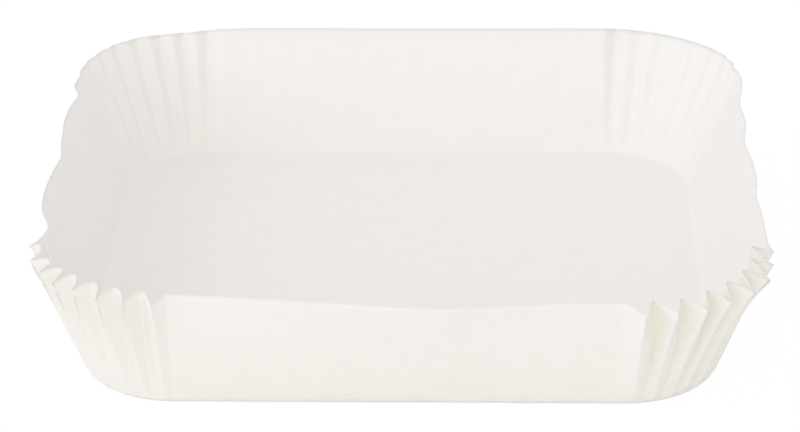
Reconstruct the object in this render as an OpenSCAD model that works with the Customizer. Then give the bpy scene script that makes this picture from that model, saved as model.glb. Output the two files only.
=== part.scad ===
// Square air fryer liner: a tray pressed from one flat sheet of paper, with flat wall panels,
// a flat floor and pleated corners that take up the paper left over where the walls turn.

/* [Tray] */
// Width of the flat floor between two opposite base edges
floor_w = 173; // [110:1:260]
// Radius of the floor's corners, seen from above
floor_r = 26; // [12:1:45]
// Height of the wall panels above the table
wall_h = 36.5; // [20:0.5:70]
// How far the rim stands out past the base edge on each side
flare = 13.5; // [4:0.5:30]
// Inside radius of the bend between the floor and the wall
bend_r = 2.4; // [1:0.5:8]

/* [Pleats] */
// Pleats in each corner
pleats = 8; // [5:1:12]
// How crisp the folds are, from a soft wave to a sharp zigzag
crisp_share = 0.93; // [0.5:0.01:0.98]
// Share of a pleat's depth that stands outside the wall panels
crest_share = 0.4; // [0:0.05:0.6]

/* [Rim] */
// Strength of the swells that make the rim lines wavy, from straight rims to well above the usual
swell_share = 1; // [0:0.1:1.4]
// How far the front right corner leans out at the rim
front_corner_lean = 2.1; // [0:0.1:4]
// How far the back right corner leans out at the rim
back_corner_lean = 3.5; // [0:0.1:4]
// How far the end pleats of the front corners lean in at the rim, next to the side panels
end_pleat_lean = 1.7; // [0:0.1:3]

/* [Paper] */
// Thickness of the sheet
sheet_t = 0.3; // [0.2:0.05:0.8]

/* [Hidden] */
paper_colour = "#F5F2EE";
corners = 4;

// The wall panels are as wide at the rim as at the floor, so the corners are quarters of a cone.
panel_half = floor_w / 2 - floor_r;
slant = sqrt(flare * flare + wall_h * wall_h);
wall_angle = atan2(wall_h, flare);
bend_run = bend_r * tan(wall_angle / 2);

// Points round the sheet: steps across one pleat, and along one panel.
pleat_steps = 8;
panel_steps = 28;
// How the wall is divided from the bend up to the rim, closer where the pleats open fastest.
wall_shares = [0, 0.1, 0.28, 0.52, 0.76, 1];
// Swells of the rims: [side, place along it from -1 to 1, half width, lean as a share of the height].
// The sides are front, right, back and left, and a minus leans in.
rim_swells = [
    [0, -1, 0.5, -0.052], [0, 0.17, 0.36, 0.036], [0, 0.85, 0.3, -0.016],
    [1, -0.5, 0.11, -0.03], [1, 0.13, 0.16, -0.044], [1, 0.62, 0.1, -0.019], [1, 0.95, 0.16, 0.033],
    [2, -0.6, 0.35, 0.016], [2, 0.35, 0.3, -0.014],
    [3, -0.87, 0.08, 0.027], [3, -0.7, 0.08, -0.038], [3, -0.4, 0.25, 0.022],
    [3, 0.08, 0.12, -0.036], [3, 0.46, 0.16, 0.016], [3, 0.93, 0.16, -0.099]
];
// Swells die out towards the base edge by this power of the height, and a corner's lean by that one.
swell_power = 2;
lean_power = 1.5;
// Share of the full pleat depth that each corner keeps: front right, back right, back left, front left.
depth_shares = [1.1, 0.5, 0.6, 1.1];

// Paper in a ring of one corner, s up the slant: flat it is a quarter circle round the floor's
// corner, and formed it is a shorter one. A zigzag of this depth takes up what is left over.
function flat_pitch(s) = PI / 2 * (floor_r + s) / pleats;
function formed_pitch(s) = PI / 2 * (floor_r + s * flare / slant) / pleats;
function pleat_depth(s) = sqrt(pow(flat_pitch(s), 2) - pow(formed_pitch(s), 2)) / 2;

// Zigzag with rounded folds: -1 at whole phases, the inner folds, and 1 half way, the outer ones.
function zigzag(phase) = asin(crisp_share * sin(360 * phase - 90)) / asin(crisp_share);

// Outward shift of a panel at u, from -1 at its left end to 1 at its right end, seen from outside.
function total(v, i = 0) = i == len(v) ? 0 : v[i] + total(v, i + 1);
function panel_shift(side, u, s) =
    swell_share * wall_h * pow(s / slant, swell_power)
    * total([for (w = rim_swells) w[0] == side ? w[3] * exp(-pow((u - w[1]) / w[2], 2)) : 0]);

// Lean of a corner: out in the two on the right, strongest close to the front and back panels,
// and in at the end of the two front ones, next to the side panels.
function lean_at(side, phase, s) =
    let (
        place = phase / pleats,
        out = side == 0 ? front_corner_lean * sin(180 * sqrt(place))
            : side == 1 ? back_corner_lean * sin(180 * sqrt(1 - place))
            : 0,
        from_side_panel = side == 0 ? 1 - place : side == 3 ? place : 1,
        in = end_pleat_lean * exp(-pow((from_side_panel - 0.04) / 0.12, 2))
    ) (out - in) * pow(s / slant, lean_power);

// Outward shift of a corner's sheet. The folds next to the panels start at the panels' ends.
function pleat_shift(side, phase, s) =
    let (
        rise = (1 + zigzag(phase)) / 2,
        next = (side + 1) % corners,
        depth = pleat_depth(s) * (1 + (depth_shares[side] - 1) * sqrt(s / slant)),
        crest = crest_share * depth + lean_at(side, phase, s),
        inner = phase < 0.5 ? panel_shift(side, 1, s)
              : phase > pleats - 0.5 ? panel_shift(next, -1, s)
              : crest - depth
    ) inner + (crest - inner) * rise;

// Stations round the sheet: [where its base edge is, which way is out, side, u or phase, corner].
function turned(v, a) = [v.x * cos(a) - v.y * sin(a), v.x * sin(a) + v.y * cos(a)];
function panel_station(side, k) =
    let (u = 2 * k / panel_steps - 1)
    [turned([u * panel_half, -floor_w / 2], 90 * side), turned([0, -1], 90 * side), side, u, false];
function corner_station(side, k) =
    let (
        phase = k / pleat_steps,
        out = turned([0, -1], 90 * (side + phase / pleats)),
        centre = turned([panel_half, -panel_half], 90 * side)
    ) [centre + floor_r * out, out, side, phase, true];
stations = [
    for (side = [0 : corners - 1]) each [
        for (k = [0 : panel_steps - 1]) panel_station(side, k),
        for (k = [0 : pleats * pleat_steps - 1]) corner_station(side, k)
    ]
];
round_n = len(stations);

// Section of the wall at a station, as [out from the base edge, up]. The sheet doesn't stretch,
// so a fold that leans out further ends lower.
function shift_at(station, s) =
    station[4] ? pleat_shift(station[2], station[3], s) : panel_shift(station[2], station[3], s);
function bend_point(share) =
    let (a = wall_angle * share) [bend_r * sin(a) - bend_run, bend_r * (1 - cos(a))];
function wall_point(station, s) =
    let (out = s * flare / slant + shift_at(station, s)) [out, sqrt(s * s - out * out)];
function section(station) = [
    bend_point(0),
    bend_point(0.5),
    for (share = wall_shares) wall_point(station, bend_run + share * (slant - bend_run))
];
ring_n = len(section(stations[0]));

// The middle of the sheet's thickness, as rings of points from the floor's edge to the rim.
sections = [for (station = stations) section(station)];
function mid_point(i, j) =
    let (out = sections[i][j].x, flat = stations[i][0] + out * stations[i][1])
    [flat.x, flat.y, sections[i][j].y + sheet_t / 2];
mid = [for (j = [0 : ring_n - 1]) [for (i = [0 : round_n - 1]) mid_point(i, j)]];

// Direction square to the sheet, towards the inside of the tray.
function unit(v) = v / norm(v);
function inward(i, j) =
    let (
        along = mid[j][(i + 1) % round_n] - mid[j][(i + round_n - 1) % round_n],
        up = mid[min(j + 1, ring_n - 1)][i] - mid[max(j - 1, 0)][i]
    ) j == 0 ? [0, 0, 1] : unit(cross(up, along));

// A closed shell: the outer face, the inner face, and the cut edge of the paper at the rim.
module pressed_sheet() {
    skin_n = round_n * ring_n;
    outer = [for (j = [0 : ring_n - 1]) for (i = [0 : round_n - 1]) mid[j][i] - inward(i, j) * sheet_t / 2];
    inner = [for (j = [0 : ring_n - 1]) for (i = [0 : round_n - 1]) mid[j][i] + inward(i, j) * sheet_t / 2];
    middle = [[0, 0, 0], [0, 0, sheet_t]];
    under = 2 * skin_n;
    over = under + 1;
    outer_faces = [
        for (j = [0 : ring_n - 2]) for (i = [0 : round_n - 1])
            let (a = j * round_n + i, b = j * round_n + (i + 1) % round_n)
            each [[a, a + round_n, b], [b, a + round_n, b + round_n]]
    ];
    inner_faces = [for (f = outer_faces) [f[0] + skin_n, f[2] + skin_n, f[1] + skin_n]];
    floor_faces = [
        for (i = [0 : round_n - 1])
            let (b = (i + 1) % round_n)
            each [[i, b, under], [skin_n + b, skin_n + i, over]]
    ];
    last = skin_n - round_n;
    rim_faces = [
        for (i = [0 : round_n - 1])
            let (a = last + i, b = last + (i + 1) % round_n)
            each [[a, a + skin_n, b], [b, a + skin_n, b + skin_n]]
    ];
    polyhedron(concat(outer, inner, middle), concat(outer_faces, inner_faces, floor_faces, rim_faces));
}

module liner() {
    color(paper_colour) pressed_sheet();
}

liner();
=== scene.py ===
# %% [markdown]
# # A pleated paper liner for an air fryer
# The real liner starts as one flat sheet of white baking paper. Two heated moulds press it into a
# tray: a flat floor, four flat walls, and round corners where the paper that is left over stands
# in pleats. This lesson makes the tray in the same order as its paper runs, from the middle of
# the floor out to the cut edge. First it loads the measured solid, so that the finished piece
# keeps to the same box.

# %% Load the frame
import math

import bmesh
import bpy
from mathutils import Matrix, Vector, noise


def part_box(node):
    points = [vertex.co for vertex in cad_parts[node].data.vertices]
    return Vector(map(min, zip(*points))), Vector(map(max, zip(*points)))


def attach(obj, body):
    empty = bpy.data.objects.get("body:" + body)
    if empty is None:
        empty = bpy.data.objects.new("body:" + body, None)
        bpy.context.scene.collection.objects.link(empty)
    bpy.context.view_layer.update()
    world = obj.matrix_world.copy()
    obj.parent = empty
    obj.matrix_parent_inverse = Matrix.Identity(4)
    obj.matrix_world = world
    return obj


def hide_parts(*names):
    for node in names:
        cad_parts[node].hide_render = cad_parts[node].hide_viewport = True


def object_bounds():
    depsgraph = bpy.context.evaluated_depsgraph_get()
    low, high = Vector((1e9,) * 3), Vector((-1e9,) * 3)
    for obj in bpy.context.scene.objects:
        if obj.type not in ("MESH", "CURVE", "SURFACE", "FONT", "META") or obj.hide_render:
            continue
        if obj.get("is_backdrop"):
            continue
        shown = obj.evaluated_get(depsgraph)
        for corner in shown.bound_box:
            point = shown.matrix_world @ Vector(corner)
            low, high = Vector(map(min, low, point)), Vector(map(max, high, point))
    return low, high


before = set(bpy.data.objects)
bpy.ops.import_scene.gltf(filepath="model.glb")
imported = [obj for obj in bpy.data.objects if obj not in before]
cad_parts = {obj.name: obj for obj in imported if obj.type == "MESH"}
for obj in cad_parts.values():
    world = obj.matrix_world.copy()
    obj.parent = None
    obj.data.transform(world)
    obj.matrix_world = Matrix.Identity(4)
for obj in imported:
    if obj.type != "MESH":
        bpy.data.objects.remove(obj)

cad_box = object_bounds()
liner_low, liner_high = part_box("liner")
print("The solid liner, in mm:", [round(1000 * c) for c in liner_high - liner_low])

# %% [markdown]
# ## The tray's sizes
# A pressed tray needs few sizes: the floor, the walls' height and flare, and the number of pleats.
# They are the same ones as the solid has, in metres, so the paper keeps to the solid. Only the
# sheet itself is thinner here, though still thicker than real baking paper.

# %% Sizes of the tray
MM = 0.001
FLOOR_W = 173 * MM
FLOOR_R = 26 * MM
WALL_H = 36.5 * MM
FLARE = 13.5 * MM
BEND_R = 2.4 * MM
PLEATS = 8
PAPER_T = 0.14 * MM

PANEL_HALF = FLOOR_W / 2 - FLOOR_R
SLANT = math.hypot(FLARE, WALL_H)
WALL_ANGLE = math.atan2(WALL_H, FLARE)
BEND_RUN = BEND_R * math.tan(WALL_ANGLE / 2)
BLANK_HALF = FLOOR_W / 2 + SLANT
print("Flat blank: %.0f mm square, corner radius %.0f mm" % (2000 * BLANK_HALF, 1000 * (FLOOR_R + SLANT)))

# %% [markdown]
# ## How deep a pleat is
# Take a ring of paper in one corner, some way up the wall. Flat, it was a quarter circle round
# the floor's corner. Formed, it is a shorter quarter circle, because the wall stands up. A zigzag
# takes up the difference, so its full depth follows from the two lengths. Only the share of it
# that each corner keeps is judged, further down.
# Real folds are slightly round, and a sine squeezed through an arcsine gives that: a zigzag with
# soft tips. The share of the sine that goes in sets how crisp the folds are. Towards the rim the
# mould lets go of the inner folds, and they open to round arches between sharp outer folds.

# %% The pleats' shape
ARCH_POWER = 0.82


def pleat_depth(s):
    flat = math.pi / 2 * (FLOOR_R + s) / PLEATS
    formed = math.pi / 2 * (FLOOR_R + s * FLARE / SLANT) / PLEATS
    return math.sqrt(flat * flat - formed * formed) / 2


def zigzag(phase, crisp):
    return math.asin(crisp * math.sin(2 * math.pi * phase - math.pi / 2)) / math.asin(crisp)


def pleat_wave(phase, s, crisp, opened):
    """-1 at the inner folds and 1 at the outer ones. The opened share of the rim is arches."""
    arch = 1 - 2 * abs(math.cos(math.pi * phase)) ** ARCH_POWER
    rounding = opened * (s / SLANT) ** 3
    return zigzag(phase, crisp) * (1 - rounding) + arch * rounding


print("Pleat depth at the rim: %.1f mm" % (1000 * pleat_depth(SLANT)))

# %% [markdown]
# ## What makes it look like paper
# No two pleats of a pressed tray are quite alike, because the sheet slips a little in the mould
# and springs back. Smooth noise with fixed inputs gives such small differences and the same
# result every time. Each kind of unevenness is one short function. The first one waves the rims,
# because nothing holds a free edge: each wave is a hump that leans out or in and dies out
# downwards. The walls also swell a little, and beside the corners they keep faint press lines.

# %% Waves of the rims and walls
FRONT, RIGHT, BACK, LEFT = range(4)
# Swells of each rim: where along it from -1 to 1, how wide, and how far out in mm, or in for a minus.
RIM_SWELLS = {
    FRONT: [(-1.0, 0.5, -1.9), (0.17, 0.36, 1.3), (0.85, 0.3, -0.6)],
    RIGHT: [(-0.5, 0.11, -1.1), (0.13, 0.16, -1.6), (0.62, 0.1, -0.7), (0.95, 0.16, 1.2)],
    BACK: [(-0.6, 0.35, 0.6), (0.35, 0.3, -0.5)],
    LEFT: [(-0.87, 0.08, 1.0), (-0.7, 0.08, -1.4), (-0.4, 0.25, 0.8), (0.08, 0.12, -1.3),
           (0.46, 0.16, 0.6), (0.93, 0.16, -3.6)],
}
WALL_SWELL = 0.25 * MM
PRESS_LINE = 0.05 * MM
PRESS_PITCH = 3.4 * MM
PRESS_REACH = 12 * MM


def soft(x, y, z=0.0):
    return noise.noise(Vector((x, y, z)))


def hump(place, centre, width):
    return math.exp(-((place - centre) / width) ** 2)


def rim_shift(side, u, s):
    lean = sum(MM * out * hump(u, centre, width) for centre, width, out in RIM_SWELLS[side])
    return lean * (s / SLANT) ** 2


def wall_swell(side, u, s):
    broad = WALL_SWELL * 2 * s / SLANT * (1 - u * u) * soft(2.6 * u + 11 * side, 60 * s, 3.3)
    in_from_end = (1 - abs(u)) * PANEL_HALF
    fading = math.exp(-in_from_end / PRESS_REACH)
    ripple = PRESS_LINE * math.sin(in_from_end * 2 * math.pi / PRESS_PITCH) * fading
    return broad + ripple * min(1, 3 * s / SLANT)


for side, name in enumerate(("front", "right", "back", "left")):
    print("Middle of the %s rim leans out by %.1f mm" % (name, 1000 * rim_shift(side, 0, SLANT)))

# %% [markdown]
# ## Corners that are not alike
# The mould presses four equal corners, but paper doesn't keep them equal. The front ones kept deep
# pleats, and the back ones are nearly smooth. So each corner has its own depth and its own
# crispness, judged from the photo. Their order is front right, back right, back left and
# front left.

# %% Depth of the pleats
# The share of their full depth that the pleats keep at the base edge and at the rim.
CORNER_DEPTH = ((0.65, 1.2), (0.32, 0.22), (0.6, 0.4), (0.65, 1.05))
# The share of the depth that stands outside the wall panels.
CORNER_CREST = (0.5, 0.4, 0.4, 0.5)
# How crisp the folds are, and how far those of the rim have opened to arches.
CORNER_CRISP = (0.9, 0.4, 0.5, 0.75)
CORNER_OPENED = (0.6, 0.3, 0.3, 0.9)
DEPTH_CHANGE = 0.12
# Where the front right corner's folds slipped, they are shallower half way up and deeper at the rim.
SLIPPED_PLACE = 0.7
SLIPPED_WIDTH = 0.27
SLIP_DEPTH_MIDDLE = -0.4
SLIP_DEPTH_RIM = 0.25
# The back left corner's pleats get shallower towards the left wall, by this share.
BACK_LEFT_FADE = 0.8
# The inner fold of the front left corner's first whole pleat has nearly come undone.
FIRST_FOLD_FADE = 0.5
FIRST_FOLD_WIDTH = 0.45


def depth_at(side, phase, s):
    height = min(1.0, s / SLANT)
    change = 1 + DEPTH_CHANGE * 2 * soft(0.55 * phase + 2.2, 4.7 * side + 1.3, 9 * s)
    if side == FRONT:
        slipped = SLIP_DEPTH_MIDDLE * math.sin(math.pi * height) + SLIP_DEPTH_RIM * height ** 3
        change += slipped * hump(phase / PLEATS, SLIPPED_PLACE, SLIPPED_WIDTH)
    if side == BACK:
        change *= 1 - BACK_LEFT_FADE * phase / PLEATS
    if side == LEFT:
        change *= 1 - FIRST_FOLD_FADE * hump(phase, 1, FIRST_FOLD_WIDTH)
    low, high = CORNER_DEPTH[side]
    return pleat_depth(s) * change * (low + (high - low) * height ** 2)


middle_depths = [1000 * depth_at(side, PLEATS / 2, SLANT) for side in range(4)]
print("Depth at the rim, in the middle of each corner, in mm:", [round(d, 1) for d in middle_depths])

# %% [markdown]
# ## Folds that slipped
# A fold is straight only if the paper runs into the mould evenly. In the two front corners it
# didn't: half way up the front right one the folds slant, and at the rim those of both corners
# slant the other way. The slip is worked out in pleats, and added to a point's place in its
# corner before the zigzag is asked for its depth. So the sheet stays one surface without a tear.

# %% Slip of the folds
SLIP_SLANT = 0.8
SLIP_MIDDLE = -0.1
SLIP_RIM = 0.05
SLIP_LEFT = -0.38
RIM_SLANT = {FRONT: 0.85, LEFT: 0.5}
FOLD_WANDER = 0.06


def slip(side, phase, s):
    """How far the folds of the front corners stand beside their even places, in pleats."""
    height = min(1.0, s / SLANT)
    swing = math.cos(2 * math.pi * phase) / (2 * math.pi)
    if side == FRONT:
        middle = math.sin(math.pi * height)
        at_rim = (SLIP_RIM + RIM_SLANT[side] * swing) * math.cos(math.pi * phase / PLEATS)
        return middle * (SLIP_MIDDLE - SLIP_SLANT * swing) + at_rim * height ** 4
    if side == LEFT:
        at_rim = SLIP_LEFT * min(1.0, phase / 2) + RIM_SLANT[side] * swing
        return at_rim * math.cos(math.pi * phase / PLEATS / 2) * height ** 5
    return 0.0


def wandering(side, phase, s):
    ends = max(0.0, min(1.0, 2 * phase, 2 * (PLEATS - phase)))
    drift = FOLD_WANDER * 2 * soft(0.9 * phase + 5.3, 3.1 * side + 7.7, 14 * s)
    return phase + ends * (drift + slip(side, phase, s))


slips = [slip(FRONT, k / 2, SLANT) for k in range(2 * PLEATS + 1)]
print("Slip at the front right rim: %.2f to %.2f pleats" % (min(slips), max(slips)))

# %% [markdown]
# ## Corners that lean, and a cut that is not even
# The corners on the right lean out, and the end pleats beside the side walls lean in at the front.
# The blank didn't lie quite straight in the mould, so the paper reaches further up in the front
# left corner and less far in the back left one. A short paper gives a low rim by itself, because
# every point is placed by its distance along the paper.

# %% Lean of the corners and cut of the rim
CORNER_LEAN = (2.1 * MM, 3.5 * MM, 0.6 * MM, 0.0)
END_PLEAT_LEAN = 1.7 * MM
END_LEAN_PLACE = 0.04
END_LEAN_REACH = {FRONT: 0.2, LEFT: 0.12}
RIM_CUT = 0.25 * MM
# Places round the rim are counted in eighths, from the start of the left wall: wall, corner, wall.
SHORT_CORNER = 1.1 * MM
SHORT_PLACE = 7.15
SHORT_WIDTH = 0.2
LONG_CORNER = 1.3 * MM
LONG_PLACE = 1.6
LONG_WIDTH = 0.75


def corner_lean(side, phase, s):
    place = min(1.0, max(0.0, phase / PLEATS))
    share = place if side == FRONT else 1 - place
    out = CORNER_LEAN[side] * math.sin(math.pi * math.sqrt(share))
    if side in END_LEAN_REACH:
        from_side_wall = 1 - place if side == FRONT else place
        out -= END_PLEAT_LEAN * hump(from_side_wall, END_LEAN_PLACE, END_LEAN_REACH[side])
    return out * (s / SLANT) ** 1.5


def rim_cut(side, along):
    """How much shorter the sheet is here, or how much longer for a minus."""
    around = (2 * side + along + 2) % 8
    angle = math.pi * around / 4
    uneven = RIM_CUT * soft(3.8 * math.cos(angle), 3.8 * math.sin(angle), 8.8)
    short = SHORT_CORNER * hump(around, SHORT_PLACE, SHORT_WIDTH)
    return uneven + short - LONG_CORNER * hump(around, LONG_PLACE, LONG_WIDTH)


cuts = [rim_cut(side, k / 8) for side in range(4) for k in range(16)]
print("The cut edge is %.1f mm short to %.1f mm long" % (1000 * max(cuts), -1000 * min(cuts)))

# %% [markdown]
# ## Stations and sections
# The tray is a loop of stations round the floor's edge, and each station has one section: along
# the floor, round the bend and up the wall. Working in such sections is how a mould is drawn too.
# A station knows where its base edge is and which way is out. A section point is given by s, the
# distance along the paper from the base edge. The paper doesn't stretch, so where a fold leans out
# further it ends lower, and the rim becomes a saw edge by itself.

# %% Stations and sections
PLEAT_STEPS = 18
PANEL_STEPS = 44


def panel_station(side, k):
    turn = Matrix.Rotation(side * math.pi / 2, 3, "Z")
    u = 2 * k / PANEL_STEPS - 1
    return {"edge": turn @ Vector((u * PANEL_HALF, -FLOOR_W / 2, 0)), "out": turn @ Vector((0, -1, 0)),
            "side": side, "u": u, "phase": None, "cut": rim_cut(side, (u + 1) / 2)}


def corner_station(side, k):
    turn = Matrix.Rotation(side * math.pi / 2, 3, "Z")
    phase = k / PLEAT_STEPS
    out = Matrix.Rotation((side + phase / PLEATS) * math.pi / 2, 3, "Z") @ Vector((0, -1, 0))
    centre = turn @ Vector((PANEL_HALF, -PANEL_HALF, 0))
    return {"edge": centre + FLOOR_R * out, "out": out, "side": side, "u": None, "phase": phase,
            "cut": rim_cut(side, 1 + phase / PLEATS)}


stations = []
for side in range(4):
    stations += [panel_station(side, k) for k in range(PANEL_STEPS)]
    stations += [corner_station(side, k) for k in range(PLEATS * PLEAT_STEPS)]
print("Stations round the tray:", len(stations))


def shift_at(station, s):
    side = station["side"]
    if station["u"] is not None:
        return rim_shift(side, station["u"], s) + wall_swell(side, station["u"], s)
    phase = wandering(side, station["phase"], s)
    rise = (1 + pleat_wave(phase, s, CORNER_CRISP[side], CORNER_OPENED[side])) / 2
    lean = corner_lean(side, phase, s)
    crest = CORNER_CREST[side] * depth_at(side, phase, s) + lean
    inner = crest - depth_at(side, phase, s)
    if phase < 0.5:
        inner = rim_shift(side, 1, s)
    elif phase > PLEATS - 0.5:
        inner = rim_shift((side + 1) % 4, -1, s)
    return inner + (crest - inner) * rise


def section_point(station, s):
    """Out from the base edge, and up, at s along the paper. On the floor s is negative."""
    if s <= -BEND_RUN:
        return s, 0.0
    if s < BEND_RUN:
        turn = WALL_ANGLE * (s + BEND_RUN) / (2 * BEND_RUN)
        return BEND_R * math.sin(turn) - BEND_RUN, BEND_R * (1 - math.cos(turn))
    out = s * FLARE / SLANT + shift_at(station, s)
    return out, math.sqrt(s * s - out * out)


# %% [markdown]
# ## Where each ring of the sheet lies
# The sheet will be made of rings, from the middle of the floor to the rim. The floor's rings are
# shares of its outline, and it swells up by a fraction of a millimetre, as paper does on a table.
# The wall's rings are closer together near the bend, where the pleats begin.

# %% Places of the rings
FLOOR_SWELL = 0.3 * MM
FLOOR_SHARES = [0.06, 0.14, 0.24, 0.34, 0.44, 0.54, 0.64, 0.73, 0.81, 0.88, 0.94, 0.98]
BEND_STEPS = 4
WALL_STEPS = 24
WALL_SPREAD = 1.25


def floor_place(station, share):
    inner_edge = station["edge"] - BEND_RUN * station["out"]
    place = inner_edge * share
    swell = FLOOR_SWELL * (1 + soft(28 * place.x + 1.7, 28 * place.y + 4.1, 0.6) * 1.6) / 2
    place.z = max(0.0, swell) * (1 - share ** 6)
    return place


def wall_place(station, s):
    out, up = section_point(station, s - station["cut"] * max(0.0, s / SLANT) ** 4)
    place = station["edge"] + out * station["out"]
    place.z = up
    return place


wall_s = [BEND_RUN * (2 * k / BEND_STEPS - 1) for k in range(BEND_STEPS)]
wall_shares = [(k / WALL_STEPS) ** WALL_SPREAD for k in range(WALL_STEPS + 1)]
wall_s += [BEND_RUN + (SLANT - BEND_RUN) * share for share in wall_shares]
print("Rings on the floor: %d, round the bend and up the wall: %d" % (len(FLOOR_SHARES), len(wall_s)))

# %% [markdown]
# ## What the pressing leaves on the paper, and painted shades
# Three marks go with the sheet, each as a number per point that the finish reads later. Sharp
# folds get whiter. The valleys between the front folds get painted shade, from each outer fold past
# the inner one on its right. The cut edge along the back gets painted shade that makes it a little
# darker. The place of each point on the flat blank is kept as well, so that the paper's pattern isn't
# stretched.

# %% Marks and painted shades on the paper
# The painted shade of the front valleys: its strength in each front corner, where it starts and ends past
# a fold, and how softly it ends.
VALLEY_SHARE = {FRONT: 1.0, LEFT: 0.3}
VALLEY_START = 0.08
VALLEY_END = 0.85
VALLEY_SOFT = 0.2
# How far below the cut edge the painted shade of the back's rim reaches.
RIM_BAND = 2.5 * MM


def flat_place(station, share, s):
    """Where this point of the paper lay on the flat blank, from 0 to 1 across it."""
    flat = station["edge"] + s * station["out"] if share is None else station["edge"] * share
    return 0.5 + flat.x / (2 * BLANK_HALF), 0.5 + flat.y / (2 * BLANK_HALF)


def fold_strength(station, s):
    if s < BEND_RUN * 1.2:
        return 0.0
    if station["phase"] is None:
        return 0.5 if station["u"] == -1 else 0.0
    side = station["side"]
    sharp = abs(zigzag(wandering(side, station["phase"], s), CORNER_CRISP[side]))
    return max(0.0, (sharp - 0.8) / 0.2) * CORNER_CRISP[side]


def valley_shade_strength(station, s):
    """How strongly the painted shade covers the paper in the front corners' valleys."""
    if station["phase"] is None or s < BEND_RUN or station["side"] not in VALLEY_SHARE:
        return 0.0
    phase = wandering(station["side"], station["phase"], s)
    if phase < 0.5:
        return 0.0
    past_fold = (phase + 0.5) % 1
    fading = min((VALLEY_END - past_fold) / VALLEY_SOFT, 2 * (PLEATS - phase))
    share = max(0.0, min(past_fold / VALLEY_START, 1.0, fading))
    return share * VALLEY_SHARE[station["side"]] * min(1.0, 2 * s / SLANT)


def rim_shade_strength(station, s):
    """How near the cut edge is, on the sides that face backwards: the strength of the painted shade
    there.
    """
    return hump(s, SLANT, RIM_BAND) * max(0.0, station["out"].y)


front_fold = {"side": FRONT, "u": None, "phase": 2.75}
print("Shade of a front valley, half way up: %.2f" % valley_shade_strength(front_fold, SLANT / 2))

# %% [markdown]
# ## Rings from the middle of the floor to the rim
# The mesh starts as one small circle that is closed by a face, in the middle of the floor. Its
# open edge is extruded again and again, and after each extrusion the new ring is put in its place
# by the section. An extruded vertex keeps its station's number, because bmesh copies the layer
# with it. A grid would need cutting to the round corners, and this way the edges run along the
# folds, which is what keeps the pleats crisp.

# %% Model the sheet
def sheet_mesh():
    bm = bmesh.new()
    number = bm.verts.layers.int.new("station")
    fold = bm.verts.layers.float.new("fold")
    # The valley layer carries the painted shade of the front valleys.
    valley = bm.verts.layers.float.new("valley")
    # The rim layer carries the painted shade of the back's cut edge.
    rim = bm.verts.layers.float.new("rim")
    blank_u = bm.verts.layers.float.new("blank_u")
    blank_v = bm.verts.layers.float.new("blank_v")
    rings = [(share, -BEND_RUN) for share in FLOOR_SHARES] + [(None, s) for s in wall_s]

    def put(vert, share, s):
        station = stations[vert[number]]
        vert.co = wall_place(station, s) if share is None else floor_place(station, share)
        vert[fold] = 0.0 if share is not None else fold_strength(station, s)
        vert[valley] = 0.0 if share is not None else valley_shade_strength(station, s)
        vert[rim] = 0.0 if share is not None else rim_shade_strength(station, s)
        vert[blank_u], vert[blank_v] = flat_place(station, share, s)

    made = bmesh.ops.create_circle(bm, cap_ends=True, segments=len(stations), radius=MM)
    for i, vert in enumerate(made["verts"]):
        vert[number] = i
        put(vert, *rings[0])
    for share, s in rings[1:]:
        edge = [e for e in bm.edges if e.is_boundary]
        grown = bmesh.ops.extrude_edge_only(bm, edges=edge)
        for vert in (g for g in grown["geom"] if isinstance(g, bmesh.types.BMVert)):
            put(vert, share, s)
    bmesh.ops.translate(bm, verts=bm.verts[:], vec=(0, 0, PAPER_T / 2))
    bmesh.ops.recalc_face_normals(bm, faces=bm.faces[:])
    bm.faces.ensure_lookup_table()
    middle = min(bm.faces, key=lambda f: f.calc_center_median().xy.length)
    if middle.normal.z < 0:
        bmesh.ops.reverse_faces(bm, faces=bm.faces[:])
    lay_out_flat(bm, blank_u, blank_v)
    return bm


def lay_out_flat(bm, blank_u, blank_v):
    flat = bm.loops.layers.uv.new("Blank")
    for face in bm.faces:
        face.smooth = True
        for loop in face.loops:
            loop[flat].uv = (loop.vert[blank_u], loop.vert[blank_v])


bm = sheet_mesh()
mesh = bpy.data.meshes.new("liner_paper")
bm.to_mesh(mesh)
bm.free()
liner_paper = bpy.data.objects.new("liner_paper", mesh)
bpy.context.scene.collection.objects.link(liner_paper)
paper_area = sum(face.area for face in mesh.polygons)
print("Sheet: %d faces, %.0f cm2 of paper" % (len(mesh.polygons), 1e4 * paper_area))

# %% [markdown]
# ## The sheet gets its thickness
# So far the sheet is a surface with no thickness, and it is the middle of the paper. Solidify adds
# half of the thickness on each side and closes the cut edge. Then the paper takes the place of
# the measured solid and rides on its body.

# %% Give the sheet its thickness
thickness = liner_paper.modifiers.new("Thickness", "SOLIDIFY")
thickness.thickness = PAPER_T
thickness.offset = 0
thickness.use_even_offset = False

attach(liner_paper, "root")
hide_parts("liner")
print("Paper: %.2f mm thick" % (1000 * thickness.thickness))

# %% [markdown]
# ## The colours of baking paper, and painted shades
# Baking paper is a slightly warm white. Held close it is a little cloudy, and along a sharp fold
# the fibres open and turn whiter. The real valleys between the front folds are warmer than this
# light makes them, so they get a painted shade, darker and warmer than the paper, that stands in
# for the light bouncing between the thin layers. The cut edge of the back-facing sides gets a
# painted shade, a little darker and cooler. The clouds read the blank's own map, so they run over
# folds without a break, and the whiter folds and painted shades are mixed in as strongly as the
# mesh's layers say.

# %% Colours of the paper
PAPER_COLOUR = (0.912, 0.883, 0.866, 1)
CLOUD_COLOUR = (0.897, 0.868, 0.851, 1)
FOLD_COLOUR = (0.935, 0.913, 0.898, 1)
# Painted shade of the front valleys: darker and warmer than the paper.
VALLEY_SHADE_COLOUR = (0.893, 0.857, 0.802, 1)
# Painted shade of the back's cut edge: a little darker and cooler.
RIM_SHADE_COLOUR = (0.88, 0.872, 0.863, 1)
FOLD_STRENGTH = 0.7
CLOUD_SCALE = 38.0


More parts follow.
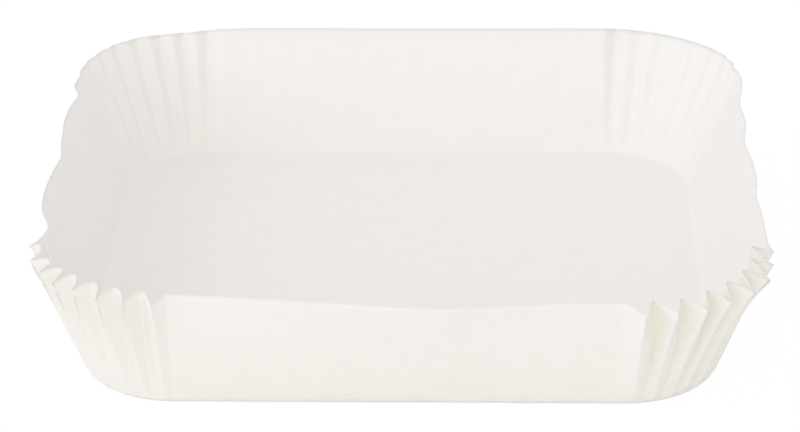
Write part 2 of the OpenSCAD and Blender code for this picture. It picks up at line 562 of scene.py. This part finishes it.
def node(tree, kind, place, **inputs):
    made = tree.nodes.new(kind)
    made.location = place
    for name, value in inputs.items():
        made.inputs[name.replace("_", " ")].default_value = value
    return made


def colour_mix(tree, place, under=None, over=None):
    mix = node(tree, "ShaderNodeMix", place)
    mix.data_type = "RGBA"
    if under:
        mix.inputs["A"].default_value = under
    mix.inputs["B"].default_value = over
    return mix


def tinted(tree, layer, strength, colour, under, place):
    """Mixes a colour over the one below, as strongly as one of the mesh's layers says."""
    amount = node(tree, "ShaderNodeAttribute", place)
    amount.attribute_name = layer
    scaled = node(tree, "ShaderNodeMath", (place[0], place[1] - 200))
    scaled.operation = "MULTIPLY"
    scaled.inputs[1].default_value = strength
    mix = colour_mix(tree, (place[0], place[1] - 400), over=colour)
    tree.links.new(amount.outputs["Fac"], scaled.inputs[0])
    tree.links.new(scaled.outputs["Value"], mix.inputs["Factor"])
    tree.links.new(under, mix.inputs["A"])
    return mix.outputs["Result"]


def paper_colour(tree, flat):
    cloud = node(tree, "ShaderNodeTexNoise", (-900, 200), Scale=CLOUD_SCALE, Detail=4.0, Roughness=0.6)
    spread = node(tree, "ShaderNodeMapRange", (-600, 200), From_Min=0.3, From_Max=0.6)
    clouded = colour_mix(tree, (-300, 200), CLOUD_COLOUR, PAPER_COLOUR)
    tree.links.new(flat, cloud.inputs["Vector"])
    tree.links.new(cloud.outputs["Fac"], spread.inputs["Value"])
    tree.links.new(spread.outputs["Result"], clouded.inputs["Factor"])
    whitened = tinted(tree, "fold", FOLD_STRENGTH, FOLD_COLOUR, clouded.outputs["Result"], (-300, 800))
    # Painted shade in the front valleys.
    valley_shaded = tinted(tree, "valley", 1.0, VALLEY_SHADE_COLOUR, whitened, (0, 800))
    # Painted shade at the cut edge of the back-facing sides.
    return tinted(tree, "rim", 1.0, RIM_SHADE_COLOUR, valley_shaded, (300, 800))


print("Paper colour, red to blue:", PAPER_COLOUR[:3])

# %% [markdown]
# ## A matt finish with fibres
# The paper is matt, with a faint silk sheen from its coating. Short fibres make it a little
# rougher here and smoother there, and with a faint crinkle they give its relief. All of that is
# far finer than the mesh, so it is bump, and the pleats themselves are real geometry.

# %% Finish of the paper
FIBRE_SCALE = 420.0
CRINKLE_SCALE = 60.0
SMOOTHEST = 0.54
ROUGHEST = 0.7
FIBRE_SHARE = 0.35
RELIEF = 0.15 * MM


def paper_finish(tree, flat, skin):
    link = tree.links.new
    fibre = node(tree, "ShaderNodeTexNoise", (-900, -100), Scale=FIBRE_SCALE, Detail=3.0, Roughness=0.7)
    crinkle = node(tree, "ShaderNodeTexNoise", (-900, -400), Scale=CRINKLE_SCALE, Detail=5.0,
                   Roughness=0.55)
    for texture in (fibre, crinkle):
        link(flat, texture.inputs["Vector"])
    rough = node(tree, "ShaderNodeMapRange", (0, -100), To_Min=SMOOTHEST, To_Max=ROUGHEST)
    link(fibre.outputs["Fac"], rough.inputs["Value"])
    link(rough.outputs["Result"], skin.inputs["Roughness"])
    relief = node(tree, "ShaderNodeMath", (-300, -300))
    relief.operation = "MULTIPLY_ADD"
    relief.inputs[1].default_value = FIBRE_SHARE
    bump = node(tree, "ShaderNodeBump", (300, -300), Strength=0.25, Distance=RELIEF)
    link(fibre.outputs["Fac"], relief.inputs[0])
    link(crinkle.outputs["Fac"], relief.inputs[2])
    link(relief.outputs["Value"], bump.inputs["Height"])
    link(bump.outputs["Normal"], skin.inputs["Normal"])


def paper_material():
    mat = bpy.data.materials.new("baking_paper")
    mat.use_nodes = True
    tree = mat.node_tree
    tree.nodes.clear()
    flat = node(tree, "ShaderNodeUVMap", (-1200, 0))
    flat.uv_map = "Blank"
    skin = node(tree, "ShaderNodeBsdfPrincipled", (600, 0), Specular_IOR_Level=0.35,
                Sheen_Weight=0.08, Sheen_Roughness=0.5)
    out = node(tree, "ShaderNodeOutputMaterial", (900, 0))
    tree.links.new(paper_colour(tree, flat.outputs["UV"]), skin.inputs["Base Color"])
    paper_finish(tree, flat.outputs["UV"], skin)
    tree.links.new(skin.outputs["BSDF"], out.inputs["Surface"])
    return mat


liner_paper.data.materials.append(paper_material())
print("Nodes in the paper's material:", len(liner_paper.data.materials[0].node_tree.nodes))

# %% [markdown]
# ## White ground
# A white product picture has a plain white ground that still takes a soft shadow. Lifting the
# lamps until the ground turns white would burn out the paper as well, so the ground gives off some
# light of its own to the camera alone. Both the ground and the surround ask one small node group
# whether it is the camera that looks.

# %% Floor
FLOOR_HALF = 3.0
GROUND_COLOUR = (0.93, 0.93, 0.93, 1)
GROUND_GLOW = 0.93
GLOW_STRENGTH = 1.015


def looking_mask():
    """A node group whose one value is 1 for rays from the camera or a reflection, and 0 for light."""
    group = bpy.data.node_groups.new("looking_mask", "ShaderNodeTree")
    group.interface.new_socket("Mask", in_out="OUTPUT", socket_type="NodeSocketFloat")
    rays = node(group, "ShaderNodeLightPath", (-600, 0))
    either = node(group, "ShaderNodeMath", (-400, 0))
    either.operation = "MAXIMUM"
    third = node(group, "ShaderNodeMath", (-200, 0))
    third.operation = "MAXIMUM"
    out = node(group, "NodeGroupOutput", (0, 0))
    group.links.new(rays.outputs["Is Camera Ray"], either.inputs[0])
    group.links.new(rays.outputs["Is Glossy Ray"], either.inputs[1])
    group.links.new(either.outputs["Value"], third.inputs[0])
    group.links.new(rays.outputs["Is Transmission Ray"], third.inputs[1])
    group.links.new(third.outputs["Value"], out.inputs["Mask"])
    return group


LOOKING_MASK = looking_mask()


def camera_mix(tree, seen, others, place):
    """Shows one shader to the camera and to reflections of it, and another one to the light."""
    mask = node(tree, "ShaderNodeGroup", (place[0] - 200, place[1] + 300))
    mask.node_tree = LOOKING_MASK
    mix = node(tree, "ShaderNodeMixShader", place)
    tree.links.new(mask.outputs["Mask"], mix.inputs["Fac"])
    tree.links.new(others, mix.inputs[1])
    tree.links.new(seen, mix.inputs[2])
    return mix


def ground_material():
    mat = bpy.data.materials.new("white_ground")
    mat.use_nodes = True
    tree = mat.node_tree
    tree.nodes.clear()
    link = tree.links.new
    plain = node(tree, "ShaderNodeBsdfDiffuse", (-300, -100), Color=GROUND_COLOUR)
    glow = node(tree, "ShaderNodeEmission", (-300, 100), Color=(1, 1, 1, 1), Strength=GLOW_STRENGTH)
    bright = node(tree, "ShaderNodeMixShader", (0, 0), Fac=GROUND_GLOW)
    link(plain.outputs["BSDF"], bright.inputs[1])
    link(glow.outputs["Emission"], bright.inputs[2])
    mix = camera_mix(tree, bright.outputs["Shader"], plain.outputs["BSDF"], (300, 0))
    out = node(tree, "ShaderNodeOutputMaterial", (600, 0))
    link(mix.outputs["Shader"], out.inputs["Surface"])
    return mat


bm = bmesh.new()
bmesh.ops.create_grid(bm, x_segments=1, y_segments=1, size=FLOOR_HALF)
ground_mesh = bpy.data.meshes.new("ground")
bm.to_mesh(ground_mesh)
bm.free()
ground = bpy.data.objects.new("ground", ground_mesh)
ground.data.materials.append(ground_material())
bpy.context.scene.collection.objects.link(ground)
ground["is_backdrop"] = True
print("Ground: %.0f m wide" % (2 * FLOOR_HALF))

# %% [markdown]
# ## Surround and lamps
# Most of the light comes evenly from the white surround, which keeps the paper white in every
# fold. Two large soft lamps shape the folds: a slightly warm one low in front, and a cooler one
# on the left. Small or strong lamps would draw hard shadows that paper in soft light lacks.

# %% Surround and lamps
SURROUND = 0.856
LAMP_SIZE = 1.2
LAMP_DISTANCE = 1.9


def surround():
    world = bpy.data.worlds.new("white_surround")
    world.use_nodes = True
    tree = world.node_tree
    tree.nodes.clear()
    link = tree.links.new
    light = node(tree, "ShaderNodeBackground", (-300, -100), Color=(1, 1, 1, 1), Strength=SURROUND)
    white = node(tree, "ShaderNodeBackground", (-300, 100), Color=(1, 1, 1, 1), Strength=1.0)
    mix = camera_mix(tree, white.outputs["Background"], light.outputs["Background"], (0, 0))
    out = node(tree, "ShaderNodeOutputWorld", (300, 0))
    link(mix.outputs["Shader"], out.inputs["Surface"])
    return world


def soft_lamp(name, direction, watts, colour):
    data = bpy.data.lights.new(name, "AREA")
    data.shape = "SQUARE"
    data.size = LAMP_SIZE
    data.energy = watts
    data.color = colour
    lamp = bpy.data.objects.new(name, data)
    print(name, "gives", watts, "W")
    towards = Vector(direction).normalized()
    lamp.location = towards * LAMP_DISTANCE
    lamp.rotation_euler = towards.to_track_quat("Z", "Y").to_euler()
    bpy.context.scene.collection.objects.link(lamp)


bpy.context.scene.world = surround()
soft_lamp("front_lamp", (-0.15, -1, 0.35), 5.3, (1, 0.98, 0.76))
soft_lamp("left_lamp", (-1, -0.3, 0.6), 5.0, (0.77, 0.88, 1))
bpy.context.scene.view_settings.view_transform = "Standard"

# %% [markdown]
# ## Camera
# The picture was taken from about 25 degrees above the table with a long lens, which keeps the
# back of the tray nearly as wide as the front. The camera aims a little above the tray's middle
# and leans by a third of a degree, as the fit to the outline gave it.

# %% Camera
PICTURE_W = 800
FOCAL_PX = 3426
SENSOR = 36.0
DISTANCE = 1.0032
ABOVE = math.radians(25.11)
TURNED = math.radians(1.23)
LEAN = math.radians(0.33)
AIM_RIGHT = -1.33 * MM
AIM_UP = 15.26 * MM


def camera_frame():
    level = math.cos(ABOVE)
    away = Vector((-math.sin(TURNED) * level, math.cos(TURNED) * level, -math.sin(ABOVE)))
    right = away.cross(Vector((0, 0, 1))).normalized()
    up = right.cross(away)
    place = -away * DISTANCE
    aim = right * AIM_RIGHT + up * AIM_UP
    look = (aim - place).to_track_quat("-Z", "Y").to_matrix().to_4x4()
    return Matrix.Translation(place) @ look @ Matrix.Rotation(-LEAN, 4, "Z")


camera_data = bpy.data.cameras.new("camera")
camera_data.sensor_width = SENSOR
camera_data.lens = FOCAL_PX * SENSOR / PICTURE_W
camera = bpy.data.objects.new("camera", camera_data)
camera.matrix_world = camera_frame()
bpy.context.scene.collection.objects.link(camera)
bpy.context.scene.camera = camera
print("Camera: %.0f mm lens, %.2f m away" % (camera_data.lens, DISTANCE))

# %% [markdown]
# ## The two boxes
# The paper piece has to stay in the solid's box. Both boxes are printed.

# %% Sizes of both boxes
shown_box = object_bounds()
for name, (low, high) in (("solid", cad_box), ("paper", shown_box)):
    print(name, "low", [round(1000 * c, 1) for c in low], "high", [round(1000 * c, 1) for c in high])
